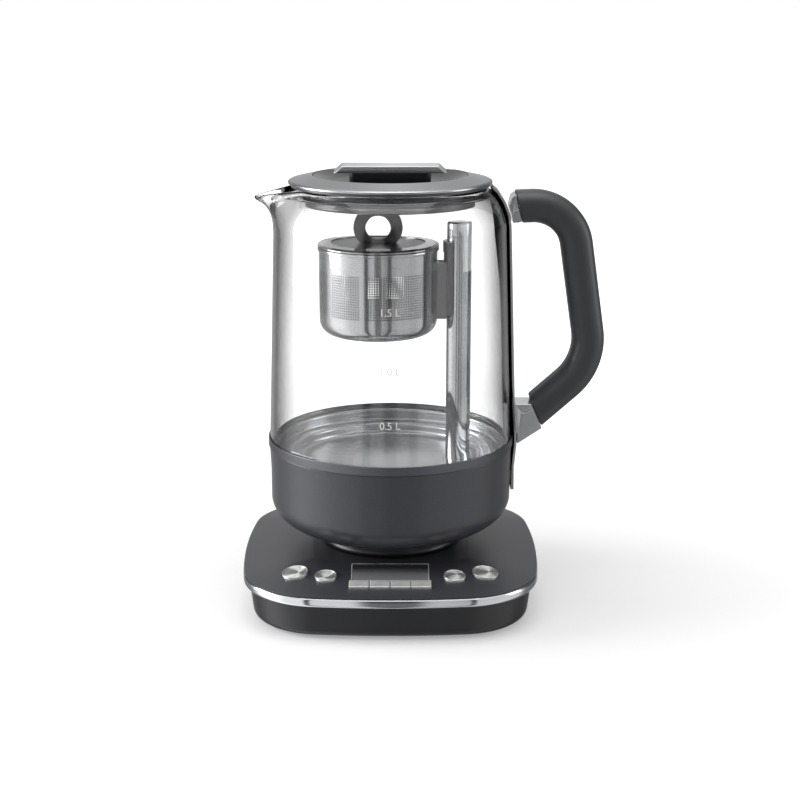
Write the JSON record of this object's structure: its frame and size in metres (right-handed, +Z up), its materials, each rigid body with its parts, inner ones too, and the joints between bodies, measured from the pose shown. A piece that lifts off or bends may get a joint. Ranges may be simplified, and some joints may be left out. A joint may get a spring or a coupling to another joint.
{
  "type": "automatic tea maker",
  "caption": "Tall glass jug with a steel heating base, loop handle, lid and motor-lifted tea basket, standing on a square power base with keys and a display",
  "frame": {"origin": "on the jug's axis, on the plane the foot ring stands on", "axes": "+Z up, +X towards the handle, -X towards the spout, -Y towards the control panel"},
  "size_m": [0.2199, 0.1814, 0.2661],
  "materials": {
    "tray_plastic": "fine satin moulding texture",
    "foot_rubber": "matte",
    "chrome_trim": "polished",
    "deck_plastic": "satin moulded",
    "screw_steel": "zinc plated",
    "gland_rubber": "matte",
    "socket_plastic": "moulded",
    "contact_brass": "plated",
    "circuit_board": "lacquered laminate",
    "display_glass": "smoked clear cover",
    "display_body": "moulded",
    "switch_plastic": "moulded",
    "key_metal": "spun face with a bright edge",
    "bar_key_metal": "fine brushed",
    "clear_glass": "clear borosilicate",
    "housing_paint": "satin baked lacquer",
    "pan_steel": "turned and polished",
    "seal_silicone": "soft matte",
    "element_metal": "dull sheath",
    "sensor_metal": "machined",
    "cutout_plastic": "phenolic",
    "cover_plastic": "satin moulded",
    "frame_plastic": "moulded",
    "motor_steel": "drawn can",
    "post_steel": "polished tube",
    "nut_steel": "turned",
    "bush_nylon": "self-lubricating",
    "strap_steel": "satin brushed along its length",
    "bracket_chrome": "polished",
    "grip_plastic": "soft-touch satin",
    "lid_plastic": "satin moulded",
    "lid_steel": "brushed round the axis",
    "lid_handle_steel": "brushed along its length",
    "basket_steel": "polished sheet with a fine perforation",
    "basket_bracket_steel": "satin",
    "magnet_metal": "nickel plated",
    "basket_lid_steel": "polished dome",
    "basket_lid_plastic": "moulded",
    "pull_plastic": "satin moulded",
    "carrier_nylon": "moulded",
    "screw_shaft_steel": "rolled thread",
    "gear_nylon": "moulded"
  },
  "bodies": {
    "power_base": {"base_tray": "tray_plastic", "base_foot_ring": "foot_rubber", "base_trim_ring": "chrome_trim", "base_deck": "deck_plastic", "base_screws": "screw_steel", "cord_gland": "gland_rubber", "connector_socket": "socket_plastic", "socket_contacts": "contact_brass", "power_board": "circuit_board", "control_board": "circuit_board", "display_window": "display_glass", "display_module": "display_body", "tact_switches": "switch_plastic"},
    "jug_connector": {"connector_plug": "socket_plastic", "plug_contacts": "contact_brass"},
    "jug": {"jug_housing": "housing_paint", "jug_bottom_cover": "cover_plastic", "jug_screws": "screw_steel", "collar_ring": "chrome_trim", "heating_pan": "pan_steel", "pan_seal": "seal_silicone", "heating_element": "element_metal", "temperature_sensor": "sensor_metal", "thermal_cutout": "cutout_plastic", "inner_frame": "frame_plastic", "lift_motor": "motor_steel", "screw_bushes": "bush_nylon", "lift_post": "post_steel", "post_cap": "post_steel", "post_nut": "nut_steel", "glass_jug": "clear_glass", "handle_strap": "strap_steel", "handle_top_bracket": "bracket_chrome", "handle_bottom_bracket": "bracket_chrome", "handle_grip": "grip_plastic"},
    "lid": {"lid_plug": "lid_plastic", "lid_seal": "seal_silicone", "lid_ring": "lid_steel", "lid_disc": "lid_plastic", "lid_handle": "lid_handle_steel", "lid_screws": "screw_steel"},
    "basket": {"tea_basket": "basket_steel", "basket_bracket": "basket_bracket_steel", "basket_magnet": "magnet_metal"},
    "basket_lid": {"basket_lid_rim": "basket_lid_steel", "basket_lid_centre": "basket_lid_plastic", "basket_lid_pull": "pull_plastic"},
    "carrier": {"magnet_carrier": "carrier_nylon", "carrier_magnets": "magnet_metal"},
    "lift_screw": {"lead_screw": "screw_shaft_steel", "screw_gear": "gear_nylon"},
    "motor_rotor": {"motor_pinion": "gear_nylon"},
    "key_round_left_large": {"key_round_left_large": "key_metal"},
    "key_round_left_small": {"key_round_left_small": "key_metal"},
    "key_round_right_small": {"key_round_right_small": "key_metal"},
    "key_round_right_large": {"key_round_right_large": "key_metal"},
    "key_bar_1": {"key_bar_1": "bar_key_metal"},
    "key_bar_2": {"key_bar_2": "bar_key_metal"},
    "key_bar_3": {"key_bar_3": "bar_key_metal"},
    "key_bar_4": {"key_bar_4": "bar_key_metal"}
  },
  "joints": [
    {"name": "jug_lift", "type": "slide", "parent": "power_base", "child": "jug_connector", "axis": [0, 0, 1], "range_m": [0, 0.08]},
    {"name": "jug_swivel", "type": "hinge", "parent": "jug_connector", "child": "jug", "pos_m": [0, 0, 0.05], "axis": [0, 0, 1], "continuous": true},
    {"name": "lid_lift", "type": "slide", "parent": "jug", "child": "lid", "axis": [0, 0, 1], "range_m": [0, 0.06]},
    {"name": "basket_lift", "type": "slide", "parent": "jug", "child": "basket", "axis": [0, 0, 1], "range_m": [-0.076, 0]},
    {"name": "basket_lid_lift", "type": "slide", "parent": "basket", "child": "basket_lid", "axis": [0, 0, 1], "range_m": [0, 0.0055]},
    {"name": "carrier_slide", "type": "slide", "parent": "jug", "child": "carrier", "axis": [0, 0, 1], "range_m": [-0.0761, 0.0001]},
    {"name": "screw_turn", "type": "hinge", "parent": "jug", "child": "lift_screw", "pos_m": [0.0413, 0, 0.1], "axis": [0, 0, 1], "range_deg": [-3425, 5]},
    {"name": "motor_spin", "type": "hinge", "parent": "jug", "child": "motor_rotor", "pos_m": [0.0413, -0.02106, 0.066], "axis": [0, 0, 1], "range_deg": [-12, 8562]},
    {"name": "press_round_left_large", "type": "slide", "parent": "power_base", "child": "key_round_left_large", "axis": [0.1017, 0.13, -0.9863], "range_m": [0, 0.001], "stiffness_N_per_m": 800, "springref_m": -0.0005},
    {"name": "press_round_left_small", "type": "slide", "parent": "power_base", "child": "key_round_left_small", "axis": [0.0157, 0.1643, -0.9863], "range_m": [0, 0.001], "stiffness_N_per_m": 800, "springref_m": -0.0005},
    {"name": "press_round_right_small", "type": "slide", "parent": "power_base", "child": "key_round_right_small", "axis": [-0.0157, 0.1643, -0.9863], "range_m": [0, 0.001], "stiffness_N_per_m": 800, "springref_m": -0.0005},
    {"name": "press_round_right_large", "type": "slide", "parent": "power_base", "child": "key_round_right_large", "axis": [-0.1017, 0.13, -0.9863], "range_m": [0, 0.001], "stiffness_N_per_m": 800, "springref_m": -0.0005},
    {"name": "press_bar_1", "type": "slide", "parent": "power_base", "child": "key_bar_1", "axis": [0, 0.165, -0.9863], "range_m": [0, 0.001], "stiffness_N_per_m": 800, "springref_m": -0.0005},
    {"name": "press_bar_2", "type": "slide", "parent": "power_base", "child": "key_bar_2", "axis": [0, 0.165, -0.9863], "range_m": [0, 0.001], "stiffness_N_per_m": 800, "springref_m": -0.0005},
    {"name": "press_bar_3", "type": "slide", "parent": "power_base", "child": "key_bar_3", "axis": [0, 0.165, -0.9863], "range_m": [0, 0.001], "stiffness_N_per_m": 800, "springref_m": -0.0005},
    {"name": "press_bar_4", "type": "slide", "parent": "power_base", "child": "key_bar_4", "axis": [0, 0.165, -0.9863], "range_m": [0, 0.001], "stiffness_N_per_m": 800, "springref_m": -0.0005}
  ],
  "couplings": [
    {"joint": "carrier_slide", "follows": "basket_lift", "ratio": 1},
    {"joint": "screw_turn", "follows": "basket_lift", "rad_per_m": 785.4},
    {"joint": "motor_spin", "follows": "basket_lift", "rad_per_m": -1963.5}
  ]
}
